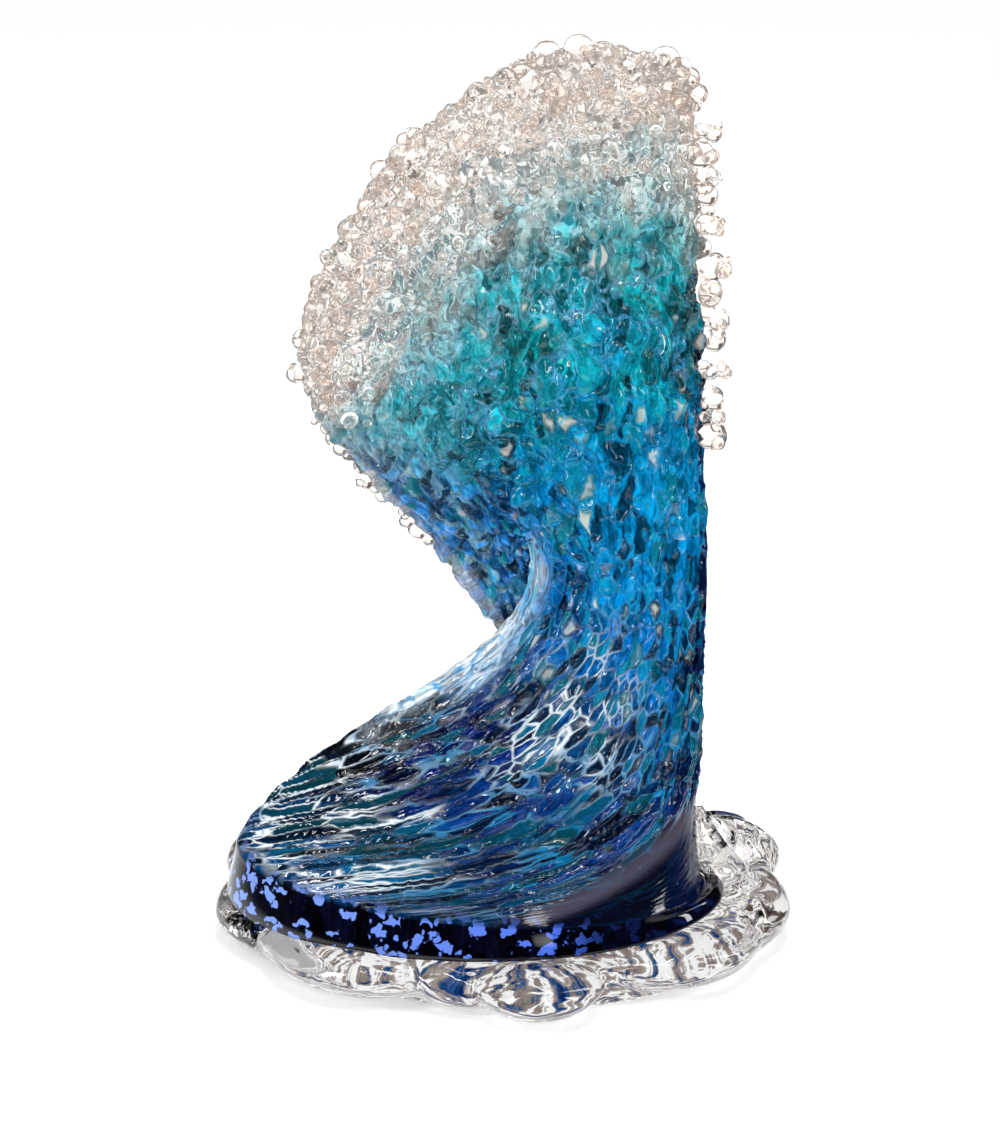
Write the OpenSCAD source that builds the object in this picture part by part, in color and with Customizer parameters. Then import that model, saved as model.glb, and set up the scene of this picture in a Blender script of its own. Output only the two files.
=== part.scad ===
// Glass wave sculpture: a breaking wave of hot-worked glass on a clear, lobed foot.
// X runs to the right, Y to the back and Z up. The origin is on the flat underside, mid foot.
// The wave is one surface, P(a, v). The angle a goes round it: 180 is the left end, 0 the right
// end, negative is the front face and positive the back. The level v climbs it: 0 to 1 is the
// skirt's edge band, 1 to 2 the skirt up to the waist, and 2 to 3 the fan up to the rim.

/* [Foot] */
// Radius of the clear pool under the wave
pool_r = 66; // [60:1:70]
// Thickness of the clear foot
foot_h = 16; // [12:1:20]
// Height of the folded lobe at the back right
fold_h = 27; // [25:1:34]
// Height of the folded lobe at the back left
fold_left_h = 23; // [20:1:28]

/* [Fin] */
// Height of the clear fin beside the right edge
fin_h = 17; // [12:1:24]
// Thickness of the fin
fin_t = 5; // [4:0.5:7]

/* [Skirt] */
// Length of the skirt along the foot, left end to right end
skirt_len = 171; // [150:1:176]
// Reach of the skirt in front of its long axis
skirt_front = 57; // [45:1:60]
// Reach of the skirt behind its long axis
skirt_back = 36; // [30:1:38]
// Height of the edge band at the left end
band_h_left = 20; // [12:1:24]
// Height of the edge band at the right end
band_h_right = 7; // [5:1:12]
// How far the band's top stands in from its foot
band_lean = 4; // [2:0.5:8]

/* [Waist] */
// Width of the wave at its waist
waist_w = 62; // [54:1:70]
// Thickness of the wave at its waist
waist_t = 36; // [28:1:42]
// Height of the waist above the table
waist_h = 134; // [124:1:144]

/* [Fan] */
// Reach of the lip's tip to the left of the origin
tip_reach = 65; // [55:1:72]
// Height of the lip's tip
tip_h = 212; // [200:1:224]
// Height of the crown, without its beads
crown_h = 315; // [300:1:330]
// How far below the crown the rim meets the right edge
edge_drop = 17; // [14:1:34]
// Thickness of the fan at its rim
rim_t = 9; // [7:0.5:12]
// Forward lean of the crown
crown_lean = 10; // [0:1:20]

/* [Surface] */
// Depth of the flow ridges on the skirt and the wall
ridge_depth = 1.3; // [0.4:0.1:1.6]
// Depth of the lumps and hollows on the fan
lump_depth = 1.6; // [0.6:0.1:2]
// Height of the white foam trails on the skirt
trail_h = 1.6; // [1:0.1:2.5]

/* [Beads] */
// Radius of the smallest bead on the crest
crest_bead_min = 2.2; // [1.8:0.1:3]
// Radius of the largest bead on the crest
crest_bead_max = 4.2; // [3.4:0.1:5]
// Radius of the smallest bead on the right edge
edge_bead_min = 3.2; // [2.6:0.1:3.8]
// Radius of the largest bead on the right edge
edge_bead_max = 5; // [4.2:0.1:5.8]
// Radius of the smallest bead on the lip's lower edge
lip_bead_min = 1.8; // [1.4:0.1:2.2]
// Radius of the largest bead on the lip's lower edge
lip_bead_max = 3; // [2.4:0.1:3.6]
// Gap left between a bead and its neighbours
bead_gap = 0.15; // [0.1:0.05:0.3]

/* [Hidden] */

// Middle of the skirt's outline and its turn on the foot
skirt_mid = [-13.5, -3.5];
skirt_yaw = -6;
// Middle of the waist and its turn: the left end stands back
waist_mid = [40.5, 8];
waist_yaw = -22;
// Where the lip ends, low behind the curl
lip_end = [8, 46, 86];
// How far right of the origin the crown and the right edge stand
crown_x = 30;
edge_x = 63;
// Places round the wave, as shares of its width, where the tip and the crown lie
tip_u = 0.36;
crown_u = 0.8;
// How deep the fan is dished away from the viewer
dish = 22;

// Headings of the band's section: its rise, and how it spreads at the foot and closes at the top
BAND_RISE = 0.9;
BAND_SPREAD = 0.6;
BAND_CLOSE = 1.2;
// Headings of the skirt: its pull to the waist in X and Y, and its rise and the waist's at the left
// and right end, as shares of the waist's height
SKIRT_PULL = [0.95, 0.85];
SKIRT_RISE = [1, 0.22];
WAIST_RISE = [0.9, 0.78];
// Rise of the fan at the left and right end, as a share of its height
FAN_RISE = [0.39, 0.88];
// Headings of the rim line, as shares of its runs, and its sways to the front or the back
LIP_PULL = 0.71;
LIP_RISE = 1.3;
TIP_RISE = 0.96;
CROWN_PULL = 1.5;
SHOULDER_PULL = 1.8;
SHOULDER_DROP = 2.3;
LIP_SWAY = -28;
TIP_SWAY = -16;
CREST_SWAY = -20;
EDGE_SWAY = 6;

// Samples across half the wave, and samples up its three parts
M = 40;
J_BAND = 2;
J_SKIRT = 16;
J_FAN = 28;
J_WAIST = J_BAND + J_SKIRT;
J_RIM = J_WAIST + J_FAN;
// Columns and levels where one colour of glass meets the next
I_LEFT = 12;
I_TOE = 28;
I_RIDGE = 9;
I_LIP = 16;
I_EDGE = 34;
J_WALL = 12;
J_ROYAL = J_WAIST + 8;
J_AZURE = J_WAIST + 15;
J_FROTH = J_WAIST + 23;
// Ridges on each face, four columns apart, and lumps up the fan, four levels apart
RIDGES = M / 4;
LUMPS = J_FAN / 4;
// How far the ridges turn round the wave on their way up, and how soon above the band
SWIRL = 94;
SWIRL_RUN = 0.35;
// Levels over which the ridges and the lumps come and go
RIDGE_IN = [0.6, 1.3];
RIDGE_OUT = [2.1, 2.5];
LUMP_IN = [2.1, 2.4];
LUMP_OUT = [2.84, 3];
// Columns of the foam trails, and the levels that the longest would reach
TRAILS = [2:2:8];
TRAIL_LEVELS = [4, 13];

// Share of the rim where the lip's small beads give way to the crest's, where each row of beads
// starts and ends, and the levels of the rows on the faces
CREST_U = 0.33;
LIP_START_U = 0.02;
FACE_END_U = 0.93;
FACE_ROWS = [2.96, 2.89, 2.82];
// How far down the right edge its two rows of beads run
UPPER_ROW = [0.05, 0.52];
LOWER_ROW = [0.545, 0.71];
// Level that gives the rim's heading, and which way the hung beads hang and how much smaller they are
RIM_INNER = 2.97;
HUNG_WAY = [0.7, -1, 0.2];
HUNG_LESS = 0.8;
ROW_MOST = 120;
BEAD_FN = 32;
LOBE_FN = 64;
FIN_FN = 24;
// Step along a row of beads, as a share of the rim
BEAD_STEP = 0.002;
// Clearances of the folded lobes and the fin from the skirt
SKIRT_CLEAR = 0.2;
FIN_CLEAR = 1.2;
// The fin's foot runs from near the skirt's right end outwards and back, and it peaks over its start
fin_x = skirt_mid.x + skirt_len / 2 + fin_t / 2 + FIN_CLEAR;
fin_front = [fin_x, -8, foot_h];
fin_back = [fin_x + 8, 3, foot_h];
fin_peak = [fin_x, -2, foot_h + fin_h - fin_t / 2];

// Lobes round the foot: bearing, reach from the origin, radius, height and roundness of the edge.
// The first ones lie whole, and each later one is cut where it meets the earlier ones.
LOBES = [
    [219, 92, 36, foot_h, foot_h / 2],
    [280, 89, 24, foot_h, foot_h / 2],
    [8, 107, 31, foot_h, foot_h / 2],
    [66, 94, 36, foot_h, foot_h / 2],
    [153, 114, 23, fold_left_h, 9],
    [188, 106, 32, foot_h, foot_h / 2],
    [254, 74, 19, foot_h, foot_h / 2],
    [340, 102, 43, foot_h, foot_h / 2],
    [27, 112, 24, fold_h, 12],
    [112, 92, 42, foot_h, foot_h / 2]
];

function mix(a, b, t) = a + (b - a) * t;
function turned(p, yaw) = [p.x * cos(yaw) - p.y * sin(yaw), p.x * sin(yaw) + p.y * cos(yaw)];
function unit(p) = p / norm(p);
function ramp(x, lo, hi) = max(0, min(1, (x - lo) / (hi - lo)));
function share(a) = (1 + cos(a)) / 2;

// Cubic curve from p to q, leaving along tp and arriving along tq
function curve(p, tp, q, tq, t) =
    p * (1 - 3 * t * t + 2 * t * t * t) + tp * (t - 2 * t * t + t * t * t)
    + q * (3 * t * t - 2 * t * t * t) + tq * (t * t * t - t * t);

// Skirt outline on top of the foot, and the top of its edge band
function skirt_foot(a, inset) =
    let (across = sin(a) * ((sin(a) < 0 ? skirt_front : skirt_back) - inset),
         p = turned([cos(a) * (skirt_len / 2 - inset), across], skirt_yaw))
    [skirt_mid.x + p.x, skirt_mid.y + p.y, foot_h];
function band_h(a) = mix(band_h_left, band_h_right, share(a));
function band_top(a) = skirt_foot(a, band_lean) + [0, 0, band_h(a)];

// Waist oval
function waist(a) =
    let (p = turned([cos(a) * waist_w / 2, sin(a) * waist_t / 2], waist_yaw))
    [waist_mid.x + p.x, waist_mid.y + p.y, waist_h];

// Middle line of the rim: lip end, tip, crown and right edge, with its headings as shares of the runs
function rim_line(u) =
    let (tip = [-tip_reach, 2, tip_h],
         crown = [crown_x, -crown_lean, crown_h],
         edge = [edge_x, 0, crown_h - edge_drop],
         rise = tip_h - lip_end.z)
    u < tip_u
        ? curve(lip_end, [-LIP_PULL * (tip_reach + lip_end.x), LIP_SWAY, LIP_RISE * rise],
                tip, [0, TIP_SWAY, TIP_RISE * rise], u / tip_u)
    : u < crown_u
        ? curve(tip, [0, CREST_SWAY, crown_h - tip_h], crown, [CROWN_PULL * (crown_x + tip_reach), 0, 0],
                (u - tip_u) / (crown_u - tip_u))
    : curve(crown, [SHOULDER_PULL * (edge_x - crown_x), 0, 0], edge, [0, EDGE_SWAY, -SHOULDER_DROP * edge_drop],
            (u - crown_u) / (1 - crown_u));
function rim(a) = rim_line(share(a)) + [0, sin(a) * rim_t / 2, 0];

// The smooth wave: band, skirt and fan
function smooth(a, v) =
    let (u = share(a), s = skirt_foot(a, 0), b = band_top(a), w = waist(a), r = rim(a),
         skirt_rise = waist_h * mix(SKIRT_RISE[0], SKIRT_RISE[1], u),
         waist_rise = waist_h * mix(WAIST_RISE[0], WAIST_RISE[1], u),
         fan_rise = (crown_h - waist_h) * mix(FAN_RISE[0], FAN_RISE[1], u))
    v <= 1 ? curve(s, [0, 0, band_h(a) * BAND_RISE] + (s - b) * BAND_SPREAD, b, (b - s) * BAND_CLOSE, v)
    : v <= 2 ? curve(b, [SKIRT_PULL.x * (w.x - b.x), SKIRT_PULL.y * (w.y - b.y), skirt_rise],
                     w, [0, 0, waist_rise], v - 1)
    : curve(w, [0, dish, fan_rise], r, (r - w) + [0, -dish, 0], v - 2);

// Outward normal of the smooth wave, by small steps
function outward(a, v) =
    let (da = 0.5, dv = 0.01, v0 = min(v, 3 - dv), along = smooth(a + da, v0) - smooth(a - da, v0),
         up = smooth(a, v0 + dv) - smooth(a, v0))
    unit(cross(along, up));

// Ridges that sweep along the skirt and stand up on the wall, and lumps and hollows on the fan
function swirl(v) = SWIRL * (1 - exp(-max(v - 1, 0) / SWIRL_RUN));
function relief(a, v) =
    ridge_depth * sin(2 * RIDGES * (a - swirl(v))) * ramp(v, RIDGE_IN[0], RIDGE_IN[1])
        * (1 - ramp(v, RIDGE_OUT[0], RIDGE_OUT[1]))
    + lump_depth * sin(2 * RIDGES * a) * cos(360 * LUMPS * v) * ramp(v, LUMP_IN[0], LUMP_IN[1])
        * (1 - ramp(v, LUMP_OUT[0], LUMP_OUT[1]));
function wave(a, v) = smooth(a, v) + outward(a, v) * relief(a, v);

function level(j) =
    j <= J_BAND ? j / J_BAND
    : j <= J_WAIST ? 1 + (j - J_BAND) / J_SKIRT
    : 2 + (j - J_WAIST) / J_FAN;
function angle(i) = 180 * (1 - i / M);
BACK = [for (i = [0:M]) [for (j = [0:J_RIM]) wave(angle(i), level(j))]];
FRONT = [for (i = [0:M]) [for (j = [0:J_RIM]) i == 0 || i == M ? BACK[i][j] : wave(-angle(i), level(j))]];

// Two triangles of a four-cornered face, each only if it has an area, wound for the interpreter
function quad(p, q, r, s) = [
    if (p != q && q != r && p != r) [r, q, p],
    if (p != r && r != s && p != s) [s, r, p]
];

// One colour of glass: columns i0 to i1 and levels j0 to j1 of the wave, with flat joints to the next
module gather(i0, i1, j0, j1) {
    backs = [for (i = [min(i1, M - 1):-1:max(i0, 1)]) i];
    fronts = i1 - i0 + 1;
    ring = fronts + len(backs);
    function f(i, j) = (j - j0) * ring + i - i0;
    function b(i, j) = i == 0 || i == M ? f(i, j) : (j - j0) * ring + fronts + backs[0] - i;
    points = [for (j = [j0:j1]) each concat([for (i = [i0:i1]) FRONT[i][j]],
                                            [for (i = backs) BACK[i][j]])];
    skin = [for (j = [j0:j1 - 1]) for (i = [i0:i1 - 1]) each concat(
        quad(f(i, j), f(i + 1, j), f(i + 1, j + 1), f(i, j + 1)),
        quad(b(i + 1, j), b(i, j), b(i, j + 1), b(i + 1, j + 1)))];
    caps = [for (i = [i0:i1 - 1]) each concat(
        quad(f(i, j0), b(i, j0), b(i + 1, j0), f(i + 1, j0)),
        quad(b(i + 1, j1), b(i, j1), f(i, j1), f(i + 1, j1)))];
    left = i0 == 0 ? [] : [for (j = [j0:j1 - 1]) each
        quad(f(i0, j), f(i0, j + 1), b(i0, j + 1), b(i0, j))];
    right = i1 == M ? [] : [for (j = [j0:j1 - 1]) each
        quad(f(i1, j), b(i1, j), b(i1, j + 1), f(i1, j + 1))];
    polyhedron(points, concat(skin, caps, left, right));
}

// A puddle of glass with a rounded edge, flat underneath
module puck(r, h, e) {
    rotate_extrude($fn = LOBE_FN) {
        square([r - e, h]);
        if (h > 2 * e) translate([0, e]) square([r, h - 2 * e]);
        translate([r - e, e]) circle(e, $fn = BEAD_FN);
        translate([r - e, h - e]) circle(e, $fn = BEAD_FN);
    }
}
module whole_lobe(k) {
    bearing = LOBES[k][0];
    r = LOBES[k][2];
    out = LOBES[k][1] - r;
    translate([out * cos(bearing), out * sin(bearing), 0]) rotate(180) puck(r, LOBES[k][3], LOBES[k][4]);
}
module foot_pool() {
    color("whitesmoke") cylinder(r = pool_r, h = foot_h, $fn = LOBE_FN);
}
// Room for the skirt, which a lobe taller than the foot folds up against
module skirt_room() {
    outline = [for (i = [0:2 * M - 1]) skirt_foot(i * 180 / M, -SKIRT_CLEAR)];
    translate([0, 0, foot_h]) linear_extrude(band_h_left + fold_h)
        polygon([for (p = outline) [p.x, p.y]]);
}
module lobe(k) {
    color("gainsboro") difference() {
        whole_lobe(k);
        foot_pool();
        for (earlier = [0:1:k - 1]) whole_lobe(earlier);
        if (LOBES[k][3] > foot_h) skirt_room();
    }
}

// Thin clear fin that stands on the foot beside the right edge
module side_fin() {
    color("gainsboro") hull() {
        translate(fin_front) cylinder(r = fin_t / 2, h = 1, $fn = FIN_FN);
        translate(fin_back) cylinder(r = fin_t / 2, h = 1, $fn = FIN_FN);
        translate(fin_peak) sphere(fin_t / 2, $fn = FIN_FN);
    }
}

// White foam trail along column i of the front face, seated on the skirt's own facets
module foam_trail(i, j0, j1) {
    points = [for (j = [j0:j1]) each [FRONT[i - 1][j], FRONT[i][j], FRONT[i + 1][j],
        FRONT[i][j] + outward(-angle(i), level(j)) * trail_h * sin(180 * (j - j0 + 0.7) / (j1 - j0 + 1.4))]];
    function c(k, j) = (j - j0) * 4 + k;
    sides = [for (j = [j0:j1 - 1]) each concat(
        quad(c(0, j), c(0, j + 1), c(1, j + 1), c(1, j)),
        quad(c(1, j), c(1, j + 1), c(2, j + 1), c(2, j)),
        quad(c(0, j), c(3, j), c(3, j + 1), c(0, j + 1)),
        quad(c(3, j), c(2, j), c(2, j + 1), c(3, j + 1)))];
    ends = [[c(0, j0), c(3, j0), c(1, j0)], [c(1, j0), c(3, j0), c(2, j0)],
            [c(0, j1), c(1, j1), c(3, j1)], [c(1, j1), c(2, j1), c(3, j1)]];
    polyhedron(points, concat(sides, ends));
}

// Angle on the back of the wave at a share u of its width
function at_share(u) = acos(max(-1, min(1, 2 * u - 1)));

// Radii of a row of beads, mixed small and large
function radii(lo, hi, seed) = [for (t = rands(0, 1, ROW_MOST, seed)) mix(lo, hi, t * t)];

// Beads strung along a row, each [place, radius]: the next one sits where it just clears the last
function strung(seat, t, t_end, r, k = 0, row = []) =
    t > t_end ? row
    : let (p = seat(t, r[k]))
      len(row) > 0 && norm(p - row[len(row) - 1][0]) < r[k] + row[len(row) - 1][1] + bead_gap
        ? strung(seat, t + BEAD_STEP, t_end, r, k, row)
        : strung(seat, t + BEAD_STEP, t_end, r, k + 1, concat(row, [[p, r[k]]]));

// Where a bead of radius r sits: on the rim, on a face just below it, or on the right edge
on_rim = function(u, r)
    let (inner = (wave(at_share(u), RIM_INNER) + wave(-at_share(u), RIM_INNER)) / 2,
         flow = unit(rim_line(u) - inner),
         along = unit(rim_line(min(1, u + BEAD_STEP)) - rim_line(max(0, u - BEAD_STEP))))
    rim_line(u) + unit(flow - along * (flow * along)) * (r + bead_gap);
on_face = function(side, v) function(u, r)
    wave(side * at_share(u), v) + outward(side * at_share(u), v) * (r + bead_gap);
on_edge = function(t, r) wave(0, 3 - t) + [r + bead_gap, 0, 0];

// Smaller beads that hang on the side of every other bead of a row
function hung(row, r, way) = [for (k = [0:2:len(row) - 1])
    [row[k][0] + unit(way) * (row[k][1] + r[k] + bead_gap), r[k]]];

module beads(row) {
    color("aliceblue") for (bead = row) translate(bead[0]) sphere(bead[1], $fn = BEAD_FN);
}
crest_r = function(seed) radii(crest_bead_min, crest_bead_max, seed);
crest_row = strung(on_rim, CREST_U, 1, crest_r(3));
lip_row = strung(on_rim, LIP_START_U, CREST_U - 5 * BEAD_STEP, radii(lip_bead_min, lip_bead_max, 9));
function face_row(side, k, seed) =
    strung(on_face(side, FACE_ROWS[k]), CREST_U, FACE_END_U, crest_r(seed + k));
edge_row = strung(on_edge, UPPER_ROW[0], UPPER_ROW[1], radii(edge_bead_min, edge_bead_max, 11));
low_edge_row = strung(on_edge, LOWER_ROW[0], LOWER_ROW[1], radii(edge_bead_min, edge_bead_max, 12));
function hung_r(seed) = radii(edge_bead_min - HUNG_LESS, edge_bead_min, seed);

foot_pool();
lobe(0);  // front_left_lobe
lobe(1);  // front_lobe
lobe(2);  // right_lobe
lobe(3);  // back_right_lobe
lobe(4);  // left_back_lobe
lobe(5);  // left_lobe
lobe(6);  // front_small_lobe
lobe(7);  // front_right_lobe
lobe(8);  // folded_lobe
lobe(9);  // back_left_lobe
side_fin();
color("white") {  // foam_trails
    for (i = TRAILS) foam_trail(i, TRAIL_LEVELS[0] + i / 2, TRAIL_LEVELS[1] - i / 2);
}
color("navy") gather(0, M, 0, J_BAND);  // speckled_band
color("darkslategray") gather(0, I_LEFT, J_BAND, J_WALL);  // charcoal_skirt
color("mediumblue") gather(I_LEFT, I_TOE, J_BAND, J_WALL);  // cobalt_skirt
color("midnightblue") gather(I_TOE, M, J_BAND, J_WALL);  // navy_toe
color("lightsteelblue") gather(0, I_RIDGE, J_WALL, J_ROYAL);  // curl_ridge
color("mediumblue") gather(I_RIDGE, I_EDGE, J_WALL, J_WAIST);  // cobalt_wall
color("royalblue") gather(I_RIDGE, I_EDGE, J_WAIST, J_ROYAL);  // royal_wall
color("navy") gather(I_EDGE, M, J_WALL, J_FROTH);  // edge_spine
color("steelblue") gather(0, I_LIP, J_ROYAL, J_FROTH);  // lip_underside
color("deepskyblue") gather(I_LIP, I_EDGE, J_ROYAL, J_AZURE);  // azure_fan
color("turquoise") gather(I_LIP, I_EDGE, J_AZURE, J_FROTH);  // aqua_fan
color("lightcyan") gather(0, I_LIP, J_FROTH, J_RIM);  // lip_froth
color("azure") gather(I_LIP, I_EDGE, J_FROTH, J_RIM);  // crown_froth
color("lightcyan") gather(I_EDGE, M, J_FROTH, J_RIM);  // edge_froth
beads(crest_row);  // crest_beads
for (k = [0:len(FACE_ROWS) - 1]) beads(face_row(-1, k, 5));  // front_froth_beads
for (k = [0:len(FACE_ROWS) - 1]) beads(face_row(1, k, 15));  // back_froth_beads
beads(lip_row);  // lip_beads
beads(concat(edge_row, hung(edge_row, hung_r(21), HUNG_WAY)));  // edge_beads_upper
beads(concat(low_edge_row, hung(low_edge_row, hung_r(22), HUNG_WAY)));  // edge_beads_lower
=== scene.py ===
"""Glass wave sculpture: the looks of a breaking wave of hot-worked glass on a clear, lobed foot."""
import math
from functools import partial
import bmesh
import bpy
import numpy as np
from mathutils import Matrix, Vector


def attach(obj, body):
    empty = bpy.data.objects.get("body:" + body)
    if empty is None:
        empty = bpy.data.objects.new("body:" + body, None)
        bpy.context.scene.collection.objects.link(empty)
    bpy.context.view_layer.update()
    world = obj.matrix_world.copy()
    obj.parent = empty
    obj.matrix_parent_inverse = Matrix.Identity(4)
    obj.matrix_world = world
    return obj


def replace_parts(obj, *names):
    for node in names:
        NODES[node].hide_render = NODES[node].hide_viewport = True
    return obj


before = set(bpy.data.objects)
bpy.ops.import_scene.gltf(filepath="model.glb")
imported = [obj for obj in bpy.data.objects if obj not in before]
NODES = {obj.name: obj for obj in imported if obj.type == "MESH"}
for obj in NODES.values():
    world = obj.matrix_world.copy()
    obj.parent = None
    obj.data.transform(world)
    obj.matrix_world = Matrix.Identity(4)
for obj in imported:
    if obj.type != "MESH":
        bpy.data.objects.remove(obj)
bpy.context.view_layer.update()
MM = 0.001

# Sizes of the wave's own surface, in mm
# It is the frame's surface. The angle goes round the wave, from its left end at 180 degrees by the
# front to the right end at 0, and the level climbs it: band to 1, skirt to 2 and fan to 3.
FOOT_H = 16
SKIRT_LEN, SKIRT_FRONT, SKIRT_BACK = 171, 57, 36
SKIRT_MID, SKIRT_YAW = (-13.5, -3.5), math.radians(-6)
BAND_LEFT, BAND_RIGHT, BAND_LEAN = 20, 7, 4
WAIST_W, WAIST_T, WAIST_H = 62, 36, 134
WAIST_MID, WAIST_YAW = (40.5, 8), math.radians(-22)
TIP_REACH, TIP_H, TIP_U = 65, 212, 0.36
CROWN_X, CROWN_H, CROWN_U, CROWN_LEAN = 30, 315, 0.8, 10
EDGE_X, EDGE_H, RIM_T, DISH = 63, 298, 9, 22
LIP_END = np.array([8.0, 46.0, 86.0])
RIDGES, RIDGE_H = 20, 1.3
LUMP_COLUMNS, LUMP_ROWS, LUMP_H = 20, 14, 1.6
FLOW_TURN, FLOW_RUN = math.radians(94), 0.35
TOE_RISE, TOE_FLARE = 0.40, 9
COLUMNS = 480
BAND_ROWS, SKIRT_ROWS, FAN_ROWS = 12, 72, 118
RIM_ROUND = (0.45, 0.9, 1.25, math.pi / 2)

# Heights of the worked glass, in mm: the net and cells of the skirt and wall, the chips of the fan
NET_H, CELL_LIFT, CELL_TILT = 0.6, 1.6, 1.4
CHIP_RISE, CHIP_FALL, CHIP_TILT = 1.3, 3.4, 5.0

# How many cells lie in a metre of glass, across it both ways and along it
# A cell is 5 by 26 mm on the skirt, 3.3 by 9.5 mm on the wall, 5.3 by 11 mm on the fan and 4.3 by
# 5.3 mm in the froth. The threads of the ridge are 3 mm wide and 77 mm long.
SKIRT_CELLS, WALL_CELLS = (200.0, 200.0, 38.0), (300.0, 300.0, 105.0)
FAN_CELLS, FROTH_CELLS = (190.0, 190.0, 88.0), (235.0, 235.0, 190.0)
RIDGE_CELLS = (330.0, 330.0, 13.0)
# Strands in the cells are 2.6 by 7.7 mm, and 1.8 by 83 mm on the ridge.
STRANDS, RIDGE_STRANDS = (380.0, 380.0, 130.0), (560.0, 560.0, 12.0)
# Patches of foam are 17 by 71 mm, and the lines between the cells break about every 11 mm.
FOAM_PATCHES, LINE_BREAKS = (60.0, 60.0, 14.0), 90.0
# Chips of the band are 5.7 mm wide and 3.4 mm high, with edges broken about every 4 mm.
BAND_CHIPS, CHIP_EDGES = (175.0, 175.0, 290.0), 260.0
# The borders between the colours wander over about 24 mm.
WANDERING = 42.0

# Colours by share of the wave's three levels, from the foot to the crest
LEVEL_TONES = [
    (0.33, "#0a4a80"), (0.40, "#083474"), (0.47, "#083c88"), (0.54, "#065ca4"), (0.61, "#0074c8"),
    (0.69, "#0090d8"), (0.78, "#0094cc"), (0.85, "#10a4bc"), (0.92, "#5cbcc8"), (0.98, "#dceef0")]
# Colours laid over these in turn, each in its own zone
# Three zones are painted light: the pale sheen of a soft lamp on the left ridge, the white highlight along its
# rim and the grey sheen along the top of the toe.
ZONE_TONES = [
    ("teal", "#0c6a94"), ("charcoal", "#0c1218"), ("ultramarine", "#03186c"), ("royal", "#005cb4"),
    ("steel", "#8cb4d4"), ("lip", "#2c8cdc"), ("shine", "#e4eef4"), ("turquoise", "#0ab0b4"),
    ("toe", "#0a0e24"), ("edge", "#061646"), ("band", "#04061a"), ("gloss", "#4a4656")]
PATCHY_ZONES = ("royal", "turquoise", "teal", "ultramarine")
# The cream of some cells is a painted highlight.
GREEN_CELL, PAINTED_HIGHLIGHT_CELL, FOAM_WHITE = "#10b8c8", "#e8e2d6", "#e8f0f4"
# The lines and the glints are painted highlights, blue low down and pale high up.
PAINTED_EDGE_BLUE, PAINTED_EDGE_PALE = "#0cacf0", "#b8e4ec"
GLINT_BLUE, GLINT_PALE = "#24b8ee", "#b4e6ee"
TOE_BUBBLES, CHIPS_LEFT, CHIPS_RIGHT = "#b8c8f0", "#7c9cf0", "#3460e8"
FROTH_CLEAR, FROTH_GLOW = "#fbf6f2", "#fff4ec"
FOOT_CLEAR, DROP_CLEAR = "#fbf8f6", "#fffaf6"
WINDOW_WHITE, POST_BROWN = "#ffffff", "#54463e"
GLASS_IOR = 1.5
# A faint painted glow, in the froth and in the drops:
FROTH_LIGHT = 0.03  # makes up for the paths of light that end inside many small drops

# The pool under the wave, in mm, and the rolls folded round it
# Each roll has how flat it lies, and the points along it: x, y, z and half its width.
POOL_R, POOL_H, POOL_X, POOL_STRETCH = 66, 14, 6, 1.24
FOOT_VOXEL, FOOT_WAVES_H = 1.4, 2.2
ROLLS = [
    (0.46, (-84, 2, 9, 7), (-74, -26, 9, 15), (-58, -44, 9, 19), (-40, -53, 9, 18), (-26, -52, 8, 11),
     (-14, -50, 9, 6)),
    (0.75, (-36, -46, 14, 4), (-27, -55, 11, 9), (-15, -64, 7, 10), (-5, -66, 6, 6)),
    (0.50, (-8, -58, 9, 8), (5, -69, 9, 17), (18, -70, 9, 17), (29, -60, 10, 10)),
    (0.48, (28, -50, 12, 6), (43, -48, 9, 14), (60, -45, 9, 18), (76, -34, 9, 16), (87, -20, 10, 8)),
    (0.75, (80, -34, 7, 6), (90, -17, 10, 11), (94, 4, 10, 12), (90, 22, 13, 8)),
    # two make the folded lobe behind the wave's right edge
    (1.00, (69, 10, 34, 5), (76, 17, 29, 9), (86, 27, 20, 12.5), (94, 36, 12, 11)),
    (1.00, (62, 40, 13, 9), (76, 47, 15, 12.5), (88, 56, 12, 10), (84, 68, 9, 8)),
    (0.45, (72, 60, 9, 9), (50, 66, 9, 18), (30, 74, 9, 19), (9, 71, 9, 12)),
    (0.41, (12, 72, 9, 9), (-12, 70, 9, 20), (-34, 66, 9, 21), (-56, 58, 9, 16), (-70, 44, 9, 8)),
    (0.77, (-66, 62, 10, 8), (-82, 52, 12, 14), (-92, 36, 11, 14), (-90, 20, 12, 7)),
    (0.66, (-92, 30, 11, 6), (-93, 9, 9, 12), (-90, -12, 9, 12), (-80, -28, 7, 6)),
    # one climbs the right edge itself
    (1.00, (69, -4, 50, 2.5), (72, -4, 40, 4.5), (77, -3, 28, 7), (85, 0, 16, 9))]

# Drops for each CAD node of beads: how they grow, least and most, and how many small ones each has
BEADS = [
    ("crest_beads", (0.9, 1.5), 2), ("front_froth_beads", (0.55, 0.85), 0),
    ("back_froth_beads", (0.55, 0.85), 0), ("lip_beads", (0.9, 1.25), 1),
    ("edge_beads_upper", (0.75, 1.25), 3), ("edge_beads_lower", (0.75, 1.2), 3)]
BIG_DROP = 3.0  # in mm: a drop with a larger radius gets finer faces
FROTH_SEEDS = 300

# Distances from the middle of the floor, in metres: where the white table fades into the dark room,
# how far the foot shades the floor, and how far the light that it gathers reaches
TABLE_FADE, FOOT_SHADE, FOOT_LIGHT = (0.13, 0.30), (0.085, 0.12), (0.108, 0.135)
WINDOWS = 4.0  # round the room: as many that the glass mirrors as there are posts seen through it


def mix(a, b, t):
    return a + (b - a) * t


def ramp(x, low, high):
    return np.clip((x - low) / (high - low), 0, 1)


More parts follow.
